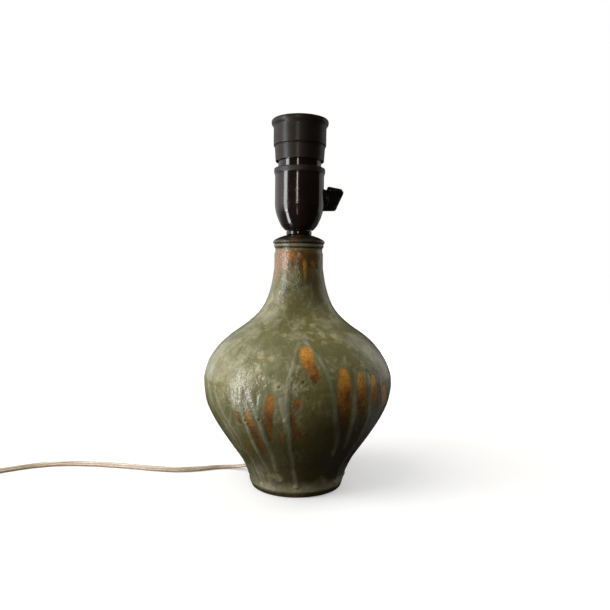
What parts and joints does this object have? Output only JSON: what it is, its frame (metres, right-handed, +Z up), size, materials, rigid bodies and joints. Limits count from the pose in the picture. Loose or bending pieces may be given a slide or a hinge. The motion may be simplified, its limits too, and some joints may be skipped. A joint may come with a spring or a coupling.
{
  "type": "table lamp base with switched lampholder",
  "caption": "Stoneware table lamp base with a long neck, a moulded screw lampholder with rotary switch and shade rings, and a flat clear flex to a plug.",
  "frame": {"origin": "centre of the stoneware base's foot ring, on the surface that the lamp stands on", "axes": "+Z up along the lamp's axis; the front faces -Y; the switch key points to +X and back; the cord leaves at -X"},
  "size_m": [0.4544, 0.1896, 0.3141],
  "materials": {
    "glaze": "gloss, olive green runs over rust orange",
    "bakelite": "polished dark brown phenolic moulding",
    "porcelain": "satin, unglazed",
    "brass": "satin, drawn sheet",
    "steel": "zinc plated",
    "clear_flex": "clear sheath over copper and tinned strands",
    "rubber": "matt",
    "plug": "satin ivory moulding"
  },
  "bodies": {
    "lamp": {"stoneware_body": "glaze", "cord_bush": "rubber", "nipple": "steel", "clamp_washer": "steel", "clamp_nut": "steel", "collar_ring": "bakelite", "holder_cap": "bakelite", "grub_screw": "steel", "holder_mantle": "bakelite", "contact_block": "porcelain", "screw_shell": "brass", "shell_strap": "brass", "terminal_far": "brass", "terminal_near": "brass", "terminal_screw_far": "steel", "terminal_screw_near": "steel", "insert_screw_inner": "steel", "insert_screw_outer": "steel", "switch_frame": "porcelain", "spindle_bush": "brass", "switch_blade_far": "brass", "switch_blade_near": "brass", "inner_cord": "clear_flex", "core_far": "clear_flex", "core_near": "clear_flex", "cord_run": "clear_flex", "cord_coil": "clear_flex", "cord_tail": "clear_flex", "coil_tie": "rubber", "plug_relief": "plug", "plug_body": "plug", "plug_pin_left": "brass", "plug_pin_right": "brass"},
    "switch_rotor": {"switch_key": "bakelite", "switch_spindle": "steel", "switch_cam": "bakelite"},
    "lower_ring": {"shade_ring_lower": "bakelite"},
    "upper_ring": {"shade_ring_upper": "bakelite"},
    "contact_tongue": {"centre_contact": "brass"}
  },
  "joints": [
    {"name": "switch_turn", "type": "hinge", "parent": "lamp", "child": "switch_rotor", "pos_m": [0, 0, 0.2492], "axis": [0.866, 0.5, 0], "continuous": true},
    {"name": "lower_ring_travel", "type": "slide", "parent": "lamp", "child": "lower_ring", "axis": [0, 0, 1], "range_m": [0, 0.0045]},
    {"name": "upper_ring_travel", "type": "slide", "parent": "lower_ring", "child": "upper_ring", "axis": [0, 0, 1], "range_m": [0, 0.0125]},
    {"name": "contact_flex", "type": "hinge", "parent": "lamp", "child": "contact_tongue", "pos_m": [0.00195, -0.00338, 0.28375], "axis": [-0.866, -0.5, 0], "range_deg": [0, 9], "stiffness_Nm_per_rad": 0.6}
  ]
}
